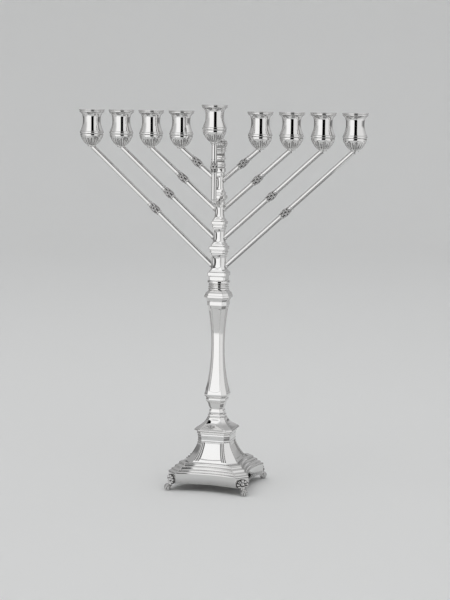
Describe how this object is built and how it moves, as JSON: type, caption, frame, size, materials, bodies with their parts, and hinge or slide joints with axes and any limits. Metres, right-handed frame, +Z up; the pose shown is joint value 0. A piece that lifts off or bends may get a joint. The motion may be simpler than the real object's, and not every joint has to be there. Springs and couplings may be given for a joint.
{
  "type": "menorah",
  "caption": "Menorah with straight raked arms in pairs off a faceted stem, flared cups in a level row, a lift-off servant light set forward and higher, and a square footed base.",
  "frame": {"origin": "on the column's axis, at the level of the foot soles", "axes": "+X right along the row of cups, -Y to the front where the servant light stands, +Z up"},
  "size_m": [0.3138, 0.0914, 0.406],
  "materials": {
    "silver_polished": "silver plate over brass, mirror polished",
    "silver_ornament": "silver plate over brass, polished relief with darkened recesses",
    "steel_hardware": "plain zinc-plated steel"
  },
  "bodies": {
    "stand": {"base_plinth": "silver_polished", "base_bell": "silver_polished", "base_shoulder": "silver_polished", "base_knop": "silver_polished", "foot_front_left": "silver_ornament", "foot_front_right": "silver_ornament", "foot_back_left": "silver_ornament", "foot_back_right": "silver_ornament", "foot_screws": "steel_hardware", "baluster": "silver_polished", "baluster_knop": "silver_polished", "ring_lower": "silver_polished", "ring_middle": "silver_polished", "ring_upper": "silver_polished", "column_1": "silver_polished", "column_2": "silver_polished", "column_3": "silver_polished", "column_4": "silver_polished", "capital": "silver_polished", "finial": "silver_polished", "tie_rod": "steel_hardware", "tie_washer": "steel_hardware", "tie_nut": "steel_hardware", "arm_left_1": "silver_polished", "arm_left_2": "silver_polished", "arm_left_3": "silver_polished", "arm_left_4": "silver_polished", "arm_right_1": "silver_polished", "arm_right_2": "silver_polished", "arm_right_3": "silver_polished", "arm_right_4": "silver_polished", "sleeve_left_1": "silver_ornament", "sleeve_left_2": "silver_ornament", "sleeve_left_3": "silver_ornament", "sleeve_left_4": "silver_ornament", "sleeve_right_1": "silver_ornament", "sleeve_right_2": "silver_ornament", "sleeve_right_3": "silver_ornament", "sleeve_right_4": "silver_ornament", "cup_left_1": "silver_polished", "cup_left_2": "silver_polished", "cup_left_3": "silver_polished", "cup_left_4": "silver_polished", "cup_right_1": "silver_polished", "cup_right_2": "silver_polished", "cup_right_3": "silver_polished", "cup_right_4": "silver_polished", "cup_screws": "steel_hardware", "servant_bracket": "silver_polished"},
    "servant": {"servant_rod": "silver_polished", "servant_sleeve": "silver_ornament", "servant_cup": "silver_polished", "servant_screw": "steel_hardware"}
  },
  "joints": [
    {"name": "servant_lift", "type": "slide", "parent": "stand", "child": "servant", "axis": [0, 0, 1], "range_m": [0, 0.03]}
  ]
}
